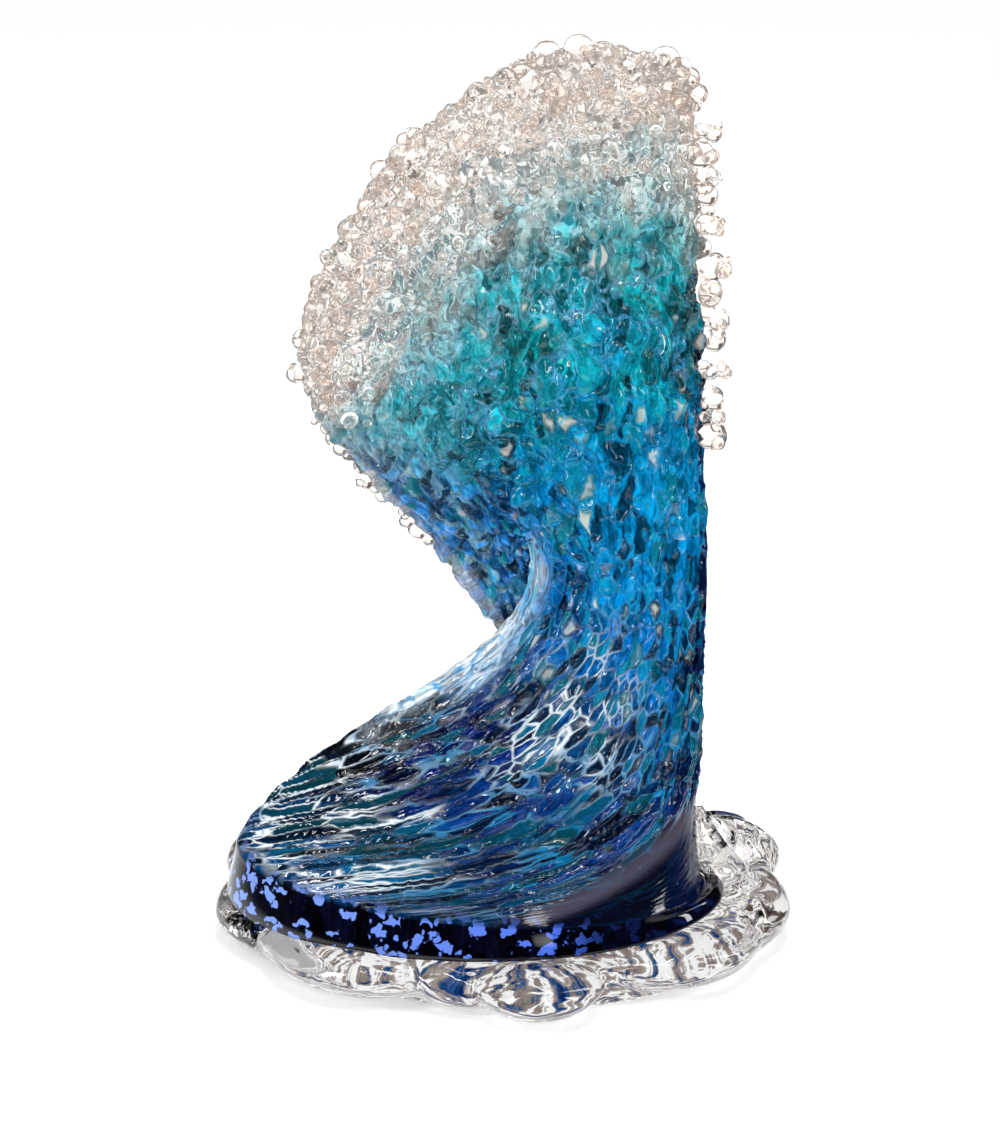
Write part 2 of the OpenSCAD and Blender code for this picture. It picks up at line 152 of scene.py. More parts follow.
def ease(x, low, high):
    t = ramp(x, low, high)
    return t * t * (3 - 2 * t)


def hump(x, middle, half, soft):
    """1 at the middle of a stretch, falling softly to 0 at its two ends."""
    return ease(1 - abs(x - middle) / half, 0, soft)


def point(x, y, z):
    return np.stack(np.broadcast_arrays(np.asarray(x, float), y, z), axis=-1)


def curve(p, leave, q, arrive, t):
    """Cubic from p to q, leaving along one heading and arriving along the other."""
    t = t[..., None]
    return (p * (1 - 3 * t**2 + 2 * t**3) + leave * (t - 2 * t**2 + t**3)
            + q * (3 * t**2 - 2 * t**3) + arrive * (t**3 - t**2))


def oval(angle, half_x, half_y, middle, yaw, z):
    x, y = np.cos(angle) * half_x, np.sin(angle) * half_y
    return point(middle[0] + x * math.cos(yaw) - y * math.sin(yaw),
                 middle[1] + x * math.sin(yaw) + y * math.cos(yaw), z)


def skirt_foot(angle, inset):
    deep = np.where(np.sin(angle) < 0, SKIRT_FRONT, SKIRT_BACK) - inset
    return oval(angle, SKIRT_LEN / 2 - inset, deep, SKIRT_MID, SKIRT_YAW, FOOT_H)


def rim_line(angle):
    """The wave's upper end: up the lip to its tip, over the crest and down to the right edge."""
    u = (1 + np.cos(angle)) / 2
    tip, crown = point(-TIP_REACH, 2, TIP_H), point(CROWN_X, -CROWN_LEAN, CROWN_H)
    edge = point(EDGE_X, 0, EDGE_H)
    rise = TIP_H - LIP_END[2]
    lip = curve(LIP_END, point(-0.71 * (TIP_REACH + LIP_END[0]), -28, 1.3 * rise), tip,
                point(0, -16, 0.96 * rise), u / TIP_U)
    crest = curve(tip, point(0, -20, CROWN_H - TIP_H), crown, point(1.5 * (CROWN_X + TIP_REACH), 0, 0),
                  (u - TIP_U) / (CROWN_U - TIP_U))
    right = curve(crown, point(1.8 * (EDGE_X - CROWN_X), 0, 0), edge,
                  point(0, 6, -2.3 * (CROWN_H - EDGE_H)), (u - CROWN_U) / (1 - CROWN_U))
    u = u[..., None]
    return np.where(u < TIP_U, lip, np.where(u < CROWN_U, crest, right))


def smooth_wave(angle, level):
    u = (1 + np.cos(angle)) / 2
    foot, high = skirt_foot(angle, 0), mix(BAND_LEFT, BAND_RIGHT, u)
    band_top = skirt_foot(angle, BAND_LEAN) + point(0, 0, high)
    waist = oval(angle, WAIST_W / 2, WAIST_T / 2, WAIST_MID, WAIST_YAW, WAIST_H)
    rim = rim_line(angle) + point(0, np.sin(angle) * RIM_T / 2, 0)
    band = curve(foot, point(0, 0, high * 0.9) + (foot - band_top) * 0.6, band_top,
                 (band_top - foot) * 1.2, level)
    run = waist - band_top
    skirt = curve(band_top, point(0.95 * run[..., 0], 0.85 * run[..., 1], WAIST_H * mix(1, 0.22, u)),
                  waist, point(0, 0, WAIST_H * mix(0.9, 0.78, u)), level - 1)
    fan = curve(waist, point(0, DISH, (CROWN_H - WAIST_H) * mix(0.39, 0.88, u)), rim,
                (rim - waist) + point(0, -DISH, 0), level - 2)
    level = level[..., None]
    return np.where(level <= 1, band, np.where(level <= 2, skirt, fan))


def outward(angle, level):
    """Unit vectors that point out of the wave."""
    level = np.minimum(level, 2.99)
    n = np.cross(smooth_wave(angle + 0.008, level) - smooth_wave(angle - 0.008, level),
                 smooth_wave(angle, level + 0.01) - smooth_wave(angle, level))
    return n / np.maximum(np.linalg.norm(n, axis=-1, keepdims=True), 1e-9)


def swirl(level):
    """How far round the wave the flow has turned at a level: along the skirt first, then upright."""
    return FLOW_TURN * (1 - np.exp(-np.maximum(level - 1, 0) / FLOW_RUN))


def toe_top(angle):
    """Level at which the smooth dark toe ends, rising towards the right end."""
    return 1 + TOE_RISE * ramp(np.cos(angle), 0.08, 0.95) ** 1.3


def ridged_wave(angle, level):
    """The smooth wave with its ridges along the flow and its lumps and hollows on the fan."""
    ridges = RIDGE_H * np.sin(RIDGES * (angle - swirl(level))) * ramp(level, 0.6, 1.3)
    ridges *= (1 - ramp(level, 2.1, 2.5)) * ease(level - toe_top(angle), -0.04, 0.1)
    lumps = LUMP_H * np.sin(LUMP_COLUMNS * angle) * np.cos(LUMP_ROWS * np.pi * level)
    lumps *= ramp(level, 2.1, 2.4) * (1 - ramp(level, 2.84, 3))
    return smooth_wave(angle, level) + outward(angle, level) * (ridges + lumps)[..., None]


def linear(text):
    c = [int(text[k:k + 2], 16) / 255 for k in (1, 3, 5)]
    return tuple(x / 12.92 if x <= 0.04045 else ((x + 0.055) / 1.055) ** 2.4 for x in c) + (1.0,)


def add(tree, kind, inputs=(), out=0, stops=None, **settings):
    """Adds a node with its settings, sets or links its inputs, and gives back one output."""
    node = tree.nodes.new(kind)
    for name, value in settings.items():
        setattr(node, name, value)
    for key, value in (inputs.items() if isinstance(inputs, dict) else enumerate(inputs)):
        if isinstance(value, bpy.types.NodeSocket):
            tree.links.new(value, node.inputs[key])
        else:
            node.inputs[key].default_value = linear(value) if str(value)[0] == "#" else value
    if stops:
        band = node.color_ramp.elements
        while len(band) < len(stops):
            band.new(0.5)
        for element, (place, tone) in zip(band, stops):
            element.position, element.color = place, linear(tone)
    return node.outputs[out] if node.outputs else node


def wave_pattern(tree, carried):
    """The cells that the hot glass was worked into: long ones that follow the flow on the skirt, short
    ones on the wall, chips on the fan and threads on the ridge. It gives them back with the values
    that the mesh carries, and both the relief and the colours are made from it."""
    node, p = partial(add, tree), dict(carried)
    flow, place, level = p["flow"], p["place"], p["level"]
    wander = node("ShaderNodeTexNoise", {
        "Vector": place, "Scale": WANDERING, "Detail": 3.0, "Roughness": 0.6}, out="Color")
    p["wander"] = wander.node.outputs["Fac"]
    upper = node("ShaderNodeMath", [p["wander"], 0.7, level], operation="MULTIPLY_ADD")
    chipped = node("ShaderNodeMath", [p["lip"], -0.55, upper], operation="MULTIPLY_ADD")
    cells = node("ShaderNodeVectorMath", [flow, SKIRT_CELLS], operation="MULTIPLY")
    for over, start, source, size in (
            (upper, 1.77, flow, WALL_CELLS), (chipped, 2.47, place, FAN_CELLS),
            (p["froth"], 0.5, place, FROTH_CELLS), (p["arcs"], 0.35, flow, RIDGE_CELLS)):
        over = node("ShaderNodeMath", [over, start], operation="GREATER_THAN")
        finer = node("ShaderNodeVectorMath", [source, size], operation="MULTIPLY")
        cells = node("ShaderNodeMix", {0: over, 4: cells, 5: finer}, out=1, data_type="VECTOR")
    # the cells are bent this way and that, more so higher up, and hardly at all on the ridge
    bend = node("ShaderNodeVectorMath", [wander, (0.5, 0.5, 0.5)], operation="SUBTRACT")
    bend = node("ShaderNodeVectorMath", [bend, (1.0, 1.0, 0.6)], operation="MULTIPLY")
    loose = node("ShaderNodeMapRange", [level, 1.4, 2.5, 1.6, 3.8])
    straight = node("ShaderNodeMath", [p["arcs"], -0.9, 1.0], operation="MULTIPLY_ADD")
    loose = node("ShaderNodeMath", [loose, straight], operation="MULTIPLY")
    bend = node("ShaderNodeVectorMath", {0: bend, "Scale": loose}, operation="SCALE")
    cells = node("ShaderNodeVectorMath", [bend, cells], operation="ADD")
    p["cell"] = node("ShaderNodeTexVoronoi", {"Vector": cells, "Scale": 1.0, "Smoothness": 0.25},
                     feature="SMOOTH_F1")
    p["tone"] = p["cell"].node.outputs["Color"]
    p["rim"] = node("ShaderNodeTexVoronoi", {"Vector": cells, "Scale": 1.0}, feature="DISTANCE_TO_EDGE")
    lean = node("ShaderNodeVectorMath", [p["tone"], (0.5, 0.5, 0.5)], operation="SUBTRACT")
    middle = p["cell"].node.outputs["Position"]
    off = node("ShaderNodeVectorMath", [cells, middle], operation="SUBTRACT")
    p["tilt"] = node("ShaderNodeVectorMath", [lean, off], out="Value", operation="DOT_PRODUCT")
    return p


def wave_relief(tree, p):
    """Height of the worked surface over the ridged wave, in metres."""
    node = partial(add, tree)
    # skirt and wall: a raised net round cells that sit a little high or low
    net = node("ShaderNodeMapRange", [p["rim"], 0.0, 0.16, 1.0, 0.0], interpolation_type="SMOOTHSTEP")
    cell = node("ShaderNodeMapRange", [p["rim"], 0.0, 0.4, 0.0, 1.0], interpolation_type="SMOOTHSTEP")
    first = node("ShaderNodeSeparateXYZ", [p["tone"]])
    lift = node("ShaderNodeMath", [first, 0.6], operation="SUBTRACT")
    cell = node("ShaderNodeMath", [cell, lift], operation="MULTIPLY")
    cell = node("ShaderNodeMath", [cell, CELL_LIFT * MM], operation="MULTIPLY")
    low = node("ShaderNodeMath", [net, NET_H * MM, cell], operation="MULTIPLY_ADD")
    low = node("ShaderNodeMath", [p["tilt"], CELL_TILT * MM, low], operation="MULTIPLY_ADD")
    low = node("ShaderNodeMath", [low, p["worked"]], operation="MULTIPLY")
    # fan: domed chips that lean this way and that
    dome = node("ShaderNodeMath", [p["cell"], p["cell"]], operation="MULTIPLY")
    dome = node("ShaderNodeMath", [dome, -CHIP_FALL * MM, CHIP_RISE * MM], operation="MULTIPLY_ADD")
    high = node("ShaderNodeMath", [p["tilt"], CHIP_TILT * MM, dome], operation="MULTIPLY_ADD")
    return node("ShaderNodeMix", {0: p["fan"], 2: low, 3: high})


def clear_tree(material):
    material.use_nodes = True
    material.node_tree.nodes.clear()
    return material.node_tree


def glass(name, **looks):
    """Clear glass: an even Principled surface that lets everything through."""
    material = bpy.data.materials.new(name)
    tree = clear_tree(material)
    shader = add(tree, "ShaderNodeBsdfPrincipled", {
        "IOR": GLASS_IOR, "Transmission Weight": 1.0, "Roughness": 0.0, **looks})
    add(tree, "ShaderNodeOutputMaterial", [shader])
    return material


def to_object(name, points, faces):
    mesh = bpy.data.meshes.new(name)
    mesh.from_pydata((points * MM).tolist(), [], faces)
    mesh.polygons.foreach_set("use_smooth", np.ones(len(mesh.polygons), bool))
    made = bpy.data.objects.new(name, mesh)
    bpy.context.collection.objects.link(made)
    return made


def only(made):
    bpy.ops.object.select_all(action="DESELECT")
    bpy.context.view_layer.objects.active = made
    made.select_set(True)


def carry(made, name, values, kind="FLOAT"):
    """Stores a value for each point of the mesh, for its modifier and its material."""
    data = made.data.attributes.new(name, kind, "POINT").data
    flat = np.ascontiguousarray(values, np.float32).ravel()
    data.foreach_set("value" if kind == "FLOAT" else "vector", flat)


def rings(rows, columns):
    """Four-sided faces between rows of points that each close on themselves."""
    j, i = np.meshgrid(np.arange(rows - 1), np.arange(columns), indexing="ij")
    here, after = j * columns, (i + 1) % columns
    corners = [here + i, here + after, here + columns + after, here + columns + i]
    return np.stack(corners, -1).reshape(-1, 4).tolist()


def colour_zones(angle, level):
    """Where each glass lies on the wave, from 0 to 1: shares of its width and its levels."""
    t = np.cos(angle)  # -1 at the left end, 1 at the right end
    froth_from = mix(3.14, 2.83, ease(t, -0.62, -0.12))
    over_toe = level - toe_top(angle)
    low_foam = ease(-t, -0.35, 0.45) * ease(level, 0.98, 1.04) * (1 - ease(level, 1.24, 1.5))
    high_foam = hump(t, 0.05, 0.75, 0.8) * ease(level, 1.3, 1.5) * (1 - ease(level, 1.72, 1.95))
    low_edge = ease(t, 0.84, 0.93) * (1 - ease(level, 1.85, 2.15))
    high_edge = ease(t, 0.955, 0.99) * (1 - ease(level, 2.55, 2.85))
    return {
        "worked": ease(level, 0.95, 1.1) * (1 - 0.95 * ease(-over_toe, -0.05, 0.04)),
        "fan": ease(level, 2.1, 2.4),
        "froth": ramp(level, froth_from - 0.26, froth_from + 0.16),
        "charcoal": ease(-t, 0.3, 0.62) * (1 - ease(level, 1.5, 1.68)) * ease(level, 1.1, 1.3),
        "ultramarine": hump(t, -0.42, 0.5, 0.6) * ease(level, 1.18, 1.35) * (1 - ease(level, 1.8, 2.05)),
        # painted sheen: the left ridge, where it faces a soft lamp, is laid pale steel blue
        "steel": ease(-t, 0.62, 0.84) * ease(level, 1.5, 1.65) * (1 - 0.8 * ease(level, 2.15, 2.5)),
        "lip": ease(-t, 0.3, 0.62) * ease(level, 2.1, 2.4),
        # painted highlight: a white strip along the outer rim of the left ridge
        "shine": ease(-t, 0.88, 0.97) * ease(level, 1.3, 1.5) * (1 - ease(level, 1.75, 1.95)),
        "turquoise": ease(t, -0.35, 0.1) * ease(level, 2.3, 2.45),
        "toe": ease(-over_toe, -0.03, 0.03) * ease(level, 0.93, 1.0) * ease(t, 0.05, 0.3),
        # painted sheen: a grey strip along the top of the dark toe
        "gloss": hump(over_toe, -0.05, 0.08, 0.8) * ease(level, 0.98, 1.04) * ease(t, 0.15, 0.4),
        "edge": np.maximum(low_edge, high_edge),
        "teal": hump(t, -0.5, 0.6, 0.6) * ease(level, 1.0, 1.08) * (1 - ease(level, 1.15, 1.35)),
        "foam": np.maximum(low_foam, high_foam),
        "royal": hump(t, -0.45, 0.5, 0.5) * ease(level, 1.9, 2.1) * (1 - ease(level, 2.35, 2.6)),
        "arcs": ease(-t, 0.45, 0.8) * ease(level, 1.4, 1.6) * (1 - ease(level, 2.15, 2.4)),
        "band": 1 - ease(level, 0.93, 1.02),
        "flecks": (1 - ease(level, 0.95, 1.07)) * (1 - 0.9 * ease(t, 0.4, 0.75)),
    }


def wave_skin():
    """The whole wave as one closed skin, with the values that its relief and its colours read."""
    levels = np.concatenate([np.linspace(0, 1, BAND_ROWS)[:-1], np.linspace(1, 2, SKIRT_ROWS)[:-1],
                             np.linspace(2, 3, FAN_ROWS)])
    angle, level = np.meshgrid(np.arange(COLUMNS) * 2 * np.pi / COLUMNS, levels)
    # the toe of the right end flares out over the foot
    flare = TOE_FLARE * ease(np.cos(angle), 0.7, 1) * (1 - ramp(level, 0.7, 1.42)) ** 1.5
    body = ridged_wave(angle, level) + outward(angle, np.maximum(level, 0.7)) * flare[..., None]
    # the rim is closed by a half round over its thickness
    top, mirrored = body[-1], (-np.arange(COLUMNS)) % COLUMNS
    middle, up = (top + top[mirrored]) / 2, top - body[-4]
    up /= np.linalg.norm(up, axis=-1, keepdims=True)
    caps = [middle + (top - middle) * math.cos(t) + up * RIM_T / 2 * math.sin(t) for t in RIM_ROUND]
    points = np.concatenate([body, np.array(caps)])
    angle = np.concatenate([angle, np.repeat(angle[-1:], len(caps), 0)])
    level = np.concatenate([level, np.repeat(level[-1:], len(caps), 0)])
    faces = rings(len(points), COLUMNS) + [list(range(COLUMNS))[::-1]]
    made = to_object("wave_glass", points.reshape(-1, 3), faces)
    # the flow unrolled at its real size: about as far round as the wave is there, and as far up
    climb = np.interp(level, [0, 1, 2, 3], [0, 15, 150, 330])
    reach = np.interp(level, [0, 1, 1.5, 2, 2.4, 3], [74, 70, 46, 28, 32, 46])
    turned = angle - swirl(level)
    flow = point(reach * np.cos(turned), reach * np.sin(turned), climb)
    carry(made, "flow", flow * MM, "FLOAT_VECTOR")
    carry(made, "place", points * MM, "FLOAT_VECTOR")
    carry(made, "level", level)
    for name, share in colour_zones(angle, level).items():
        carry(made, name, share)
    only(made)
    bpy.ops.object.mode_set(mode="EDIT")
    bpy.ops.mesh.select_all(action="SELECT")
    bpy.ops.mesh.remove_doubles(threshold=0.02 * MM)
    bpy.ops.mesh.normals_make_consistent(inside=False)
    bpy.ops.object.mode_set(mode="OBJECT")
    return made


def raise_worked_glass(made):
    """Raises the worked surface by a modifier that reads the same cells as the colours."""
    group = bpy.data.node_groups.new("raise_worked_glass", "GeometryNodeTree")
    group.interface.new_socket("Geometry", in_out="INPUT", socket_type="NodeSocketGeometry")
    group.interface.new_socket("Geometry", in_out="OUTPUT", socket_type="NodeSocketGeometry")
    node = partial(add, group)
    carried = {name: node("GeometryNodeInputNamedAttribute", {"Name": name})
               for name in ("level", "froth", "worked", "fan", "arcs", "lip")}
    for name in ("flow", "place"):
        carried[name] = node("GeometryNodeInputNamedAttribute", {"Name": name}, data_type="FLOAT_VECTOR")
    height = wave_relief(group, wave_pattern(group, carried))
    normal = node("GeometryNodeInputNormal")
    shift = node("ShaderNodeVectorMath", {0: normal, "Scale": height}, operation="SCALE")
    raised = node("GeometryNodeSetPosition", {"Geometry": node("NodeGroupInput"), "Offset": shift})
    node("NodeGroupOutput", [raised])
    made.modifiers.new("worked_surface", "NODES").node_group = group
    only(made)
    bpy.ops.object.modifier_apply(modifier="worked_surface")


def gathered_colours(node, p):
    """The colours in which the glass was gathered, level by level and then zone by zone."""
    climbed = node("ShaderNodeMath", [p["wander"], 0.5, p["level"]], operation="MULTIPLY_ADD")
    climbed = node("ShaderNodeMath", [climbed, 0.25], operation="SUBTRACT")
    climbed = node("ShaderNodeMath", [climbed, 1 / 3], operation="MULTIPLY")
    tint = node("ShaderNodeValToRGB", [climbed], stops=LEVEL_TONES)
    patchy = node("ShaderNodeMapRange", [p["wander"], 0.38, 0.56])
    for name, tone in ZONE_TONES:
        share = p[name]
        if name in PATCHY_ZONES:
            share = node("ShaderNodeMath", [share, patchy], operation="MULTIPLY")
        tint = node("ShaderNodeMix", {0: share, 6: tint, 7: tone}, out=2, data_type="RGBA")
    return tint


def marbled_strands(node, p):
    """Streaks inside the cells, drawn out into long threads on the ridge."""
    drawn = node("ShaderNodeMath", [p["arcs"], 0.35], operation="GREATER_THAN")
    size = node("ShaderNodeMix", {0: drawn, 4: STRANDS, 5: RIDGE_STRANDS}, out=1, data_type="VECTOR")
    strands = node("ShaderNodeVectorMath", [p["flow"], size], operation="MULTIPLY")
    return node("ShaderNodeTexNoise", {
        "Vector": strands, "Scale": 1.0, "Detail": 3.0, "Roughness": 0.6, "Distortion": 1.0})


def cell_colours(node, p, tint, marble):
    """Each cell a little darker, greener or paler than the next. Painted cream highlights are solid colour."""
    first, second, third = node("ShaderNodeSeparateXYZ", [p["tone"]]).node.outputs
    shade = node("ShaderNodeMapRange", [first, 0.2, 0.85, 0.12, 1.45])
    shade = node("ShaderNodeMix", {0: p["arcs"], 2: shade, 3: 1.0})
    streaks = node("ShaderNodeMapRange", [marble, 0.36, 0.64, 0.4, 1.8])
    shade = node("ShaderNodeMath", [shade, streaks], operation="MULTIPLY")
    shade = node("ShaderNodeMix", {0: p["toe"], 2: shade, 3: 1.0})
    tint = node("ShaderNodeVectorMath", {0: tint, "Scale": shade}, operation="SCALE")
    green = node("ShaderNodeMapRange", [second, 0.72, 0.80, 0.0, 0.6])
    upwards = node("ShaderNodeMapRange", [p["level"], 1.2, 1.9, 0.25, 1.0])
    green = node("ShaderNodeMath", [green, upwards], operation="MULTIPLY")
    green = node("ShaderNodeMath", [green, p["worked"]], operation="MULTIPLY")
    tint = node("ShaderNodeMix", {0: green, 6: tint, 7: GREEN_CELL}, out=2, data_type="RGBA")
    # painted highlights: a few cells on the wall turn cream inside their rims
    painted_highlight_cells = node("ShaderNodeMapRange", [third, 0.80, 0.88, 0.0, 0.8])
    inside = node("ShaderNodeMapRange", [p["rim"], 0.12, 0.3])
    painted_highlight_cells = node("ShaderNodeMath", [painted_highlight_cells, inside], operation="MULTIPLY")
    painted_highlight_cells = node("ShaderNodeMath", [painted_highlight_cells, p["worked"]], operation="MULTIPLY")
    on_wall = node("ShaderNodeMapRange", [p["level"], 1.4, 1.7])
    painted_highlight_cells = node("ShaderNodeMath", [painted_highlight_cells, on_wall], operation="MULTIPLY")
    tint = node("ShaderNodeMix", {0: painted_highlight_cells, 6: tint, 7: PAINTED_HIGHLIGHT_CELL}, out=2, data_type="RGBA")
    return tint, painted_highlight_cells


def line_colours(node, p, tint, marble):
    """Painted highlights: thin lines between the cells and glints in the strands. Foam: lines of solid white.
    """
    line = node("ShaderNodeMapRange", [p["rim"], 0.03, 0.12, 1.0, 0.0])
    broken = node("ShaderNodeTexNoise", {"Vector": p["flow"], "Scale": LINE_BREAKS})
    unbroken = node("ShaderNodeMapRange", [broken, 0.46, 0.56])
    # painted highlight along the cell edges, where the lines are unbroken
    bright = node("ShaderNodeMath", [line, unbroken], operation="MULTIPLY")
    bright = node("ShaderNodeMath", [bright, p["worked"]], operation="MULTIPLY")
    airy = node("ShaderNodeMapRange", [p["level"], 2.45, 2.8])
    lines = node("ShaderNodeMix", {0: airy, 6: PAINTED_EDGE_BLUE, 7: PAINTED_EDGE_PALE}, out=2, data_type="RGBA")
    tint = node("ShaderNodeMix", {0: bright, 6: tint, 7: lines}, out=2, data_type="RGBA")
    # painted glints in the strands of the wall and fan
    glint = node("ShaderNodeMapRange", [marble, 0.60, 0.66, 0.0, 0.9])
    upwards = node("ShaderNodeMapRange", [p["level"], 1.5, 2.4])
    glint = node("ShaderNodeMath", [glint, upwards], operation="MULTIPLY")
    pale = node("ShaderNodeMix", {0: airy, 6: GLINT_BLUE, 7: GLINT_PALE}, out=2, data_type="RGBA")
    tint = node("ShaderNodeMix", {0: glint, 6: tint, 7: pale}, out=2, data_type="RGBA")
    white = node("ShaderNodeMath", [p["foam"], p["arcs"]], operation="MAXIMUM")
    unbroken = node("ShaderNodeMapRange", [broken, 0.38, 0.48])
    foam = node("ShaderNodeMath", [line, unbroken], operation="MULTIPLY")
    foam = node("ShaderNodeMath", [foam, white], operation="MULTIPLY")
    patches = node("ShaderNodeVectorMath", [p["flow"], FOAM_PATCHES], operation="MULTIPLY")
    patches = node("ShaderNodeTexNoise", {"Vector": patches, "Scale": 1.0})
    patches = node("ShaderNodeMapRange", [patches, 0.40, 0.52, 0.12, 1.0])
    foam = node("ShaderNodeMath", [foam, patches], operation="MULTIPLY")
    tint = node("ShaderNodeMix", {0: foam, 6: tint, 7: FOAM_WHITE}, out=2, data_type="RGBA")
    return tint, foam


def chip_colours(node, p, tint):
    """Solid periwinkle chips in the band, bluer to the right, and tiny bubbles in the toe."""
    place = node("ShaderNodeVectorMath", [p["place"], BAND_CHIPS], operation="MULTIPLY")
    jag = node("ShaderNodeTexNoise", {"Vector": p["place"], "Scale": CHIP_EDGES}, out="Color")
    place = node("ShaderNodeVectorMath", [jag, (2.0, 2.0, 2.0), place], operation="MULTIPLY_ADD")
    fleck = node("ShaderNodeTexVoronoi", {"Vector": place, "Scale": 1.0})
    first, second, _ = node("ShaderNodeSeparateXYZ", [fleck.node.outputs["Color"]]).node.outputs
    bubble = node("ShaderNodeMapRange", [fleck, 0.08, 0.12, 0.8, 0.0])
    picked = node("ShaderNodeMath", [second, 0.7], operation="GREATER_THAN")
    bubble = node("ShaderNodeMath", [bubble, picked], operation="MULTIPLY")
    bubble = node("ShaderNodeMath", [bubble, p["toe"]], operation="MULTIPLY")
    tint = node("ShaderNodeMix", {0: bubble, 6: tint, 7: TOE_BUBBLES}, out=2, data_type="RGBA")
    chip = node("ShaderNodeMapRange", [fleck, 0.46, 0.54, 1.0, 0.0])
    picked = node("ShaderNodeMath", [first, 0.42], operation="GREATER_THAN")
    chip = node("ShaderNodeMath", [chip, picked], operation="MULTIPLY")
    chip = node("ShaderNodeMath", [chip, p["flecks"]], operation="MULTIPLY")
    across = node("ShaderNodeSeparateXYZ", [p["place"]])
    bluer = node("ShaderNodeMapRange", [across, -0.07, 0.05])
    chips = node("ShaderNodeMix", {0: bluer, 6: CHIPS_LEFT, 7: CHIPS_RIGHT}, out=2, data_type="RGBA")
    tint = node("ShaderNodeMix", {0: chip, 6: tint, 7: chips}, out=2, data_type="RGBA")
    return tint, node("ShaderNodeMath", [chip, bubble], operation="MAXIMUM")


def solid_share(node, p, *marks):
    """How much solid colour lies at the surface: all in the marks and painted highlights, less in clear glass.
    """
    share = node("ShaderNodeMapRange", [p["level"], 1.0, 2.6, 0.45, 0.3])
    # more on the lip, and on the sheens painted on the ridge and the toe
    for name, more in (("lip", 0.3), ("steel", 0.75), ("gloss", 0.5)):
        share = node("ShaderNodeMath", [p[name], more, share], operation="MULTIPLY_ADD")
    # all of it in the painted rim highlight and in the marks
    for mark in (p["shine"], *marks):
        share = node("ShaderNodeMath", [mark, share], operation="MAXIMUM")
    return share


def layered_blue_glass(made):
    """Soda-lime glass in layers of blue, gathered hot and polished by the flame. Its skin is wet and
    bright, and the eye looks through it into cells, strands and chips of other blues, which end in
    clear froth at the crest."""
    material = bpy.data.materials.new("layered_blue_glass")
    tree = clear_tree(material)
    node = partial(add, tree)
    socket, carried = {"FLOAT": "Fac", "FLOAT_VECTOR": "Vector"}, {}
    for value in made.data.attributes:
        if value.data_type in socket and value.name != "position":
            carried[value.name] = node("ShaderNodeAttribute", out=socket[value.data_type],
                                       attribute_name=value.name)
    p = wave_pattern(tree, carried)
    marble = marbled_strands(node, p)
    tint, painted_highlight_cells = cell_colours(node, p, gathered_colours(node, p), marble)
    tint, foam = line_colours(node, p, tint, marble)
    tint, chips = chip_colours(node, p, tint)
    solid = solid_share(node, p, painted_highlight_cells, foam, chips)
    bump = node("ShaderNodeBump", {"Height": wave_relief(tree, p), "Strength": 0.7, "Distance": 1.0})
    froth = node("ShaderNodeMath", [p["wander"], 1.4, p["froth"]], operation="MULTIPLY_ADD")
    froth = node("ShaderNodeMapRange", [froth, 0.95, 1.45])
    tint = node("ShaderNodeMix", {0: froth, 6: tint, 7: FROTH_CLEAR}, out=2, data_type="RGBA")
    solid = node("ShaderNodeMix", {0: froth, 2: solid, 3: 0.06})
    through = node("ShaderNodeMath", [1.0, solid], operation="SUBTRACT")
    # a faint painted glow in the froth
    glow = node("ShaderNodeMath", [froth, FROTH_LIGHT], operation="MULTIPLY")
    shader = node("ShaderNodeBsdfPrincipled", {
        "Base Color": tint, "Roughness": 0.02, "IOR": GLASS_IOR, "Transmission Weight": through,
        "Normal": bump, "Emission Color": FROTH_GLOW, "Emission Strength": glow})
    node("ShaderNodeOutputMaterial", [shader])
    return material


wave = wave_skin()
raise_worked_glass(wave)
wave.data.materials.append(layered_blue_glass(wave))
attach(wave, "root")
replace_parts(wave, "speckled_band", "charcoal_skirt", "cobalt_skirt", "navy_toe", "foam_trails", "curl_ridge",
            "cobalt_wall", "royal_wall", "edge_spine", "lip_underside", "azure_fan", "aqua_fan", "lip_froth",
            "crown_froth", "edge_froth")


def clear_foot_glass():
    """Clear soda-lime glass, poured and folded while soft. It is colourless, with shallow waves along
    the rolls where it was pulled round the foot, so what lies behind it breaks into curved lines."""
    material = glass("clear_foot_glass", **{"Base Color": FOOT_CLEAR})
    tree = material.node_tree
    node = partial(add, tree)
    where = node("ShaderNodeTexCoord", out="Object")
    x, y, z = node("ShaderNodeSeparateXYZ", [where]).node.outputs
    bearing = node("ShaderNodeMath", [y, x], operation="ARCTAN2")
    away = node("ShaderNodeVectorMath", [where], out="Value", operation="LENGTH")
    # a wave is about 40 mm long round the foot, 12 mm wide and 11 mm high
    pulled = node("ShaderNodeCombineXYZ", [
        node("ShaderNodeMath", [bearing, 2.2], operation="MULTIPLY"),
        node("ShaderNodeMath", [away, 80.0], operation="MULTIPLY"),
        node("ShaderNodeMath", [z, 90.0], operation="MULTIPLY")])
    waves = node("ShaderNodeTexNoise", {"Vector": pulled, "Scale": 1.0, "Detail": 1.0, "Distortion": 0.6})
    bump = node("ShaderNodeBump", {"Height": waves, "Strength": 1.0, "Distance": FOOT_WAVES_H * MM})
    tree.links.new(bump, tree.nodes["Principled BSDF"].inputs["Normal"])
    return material


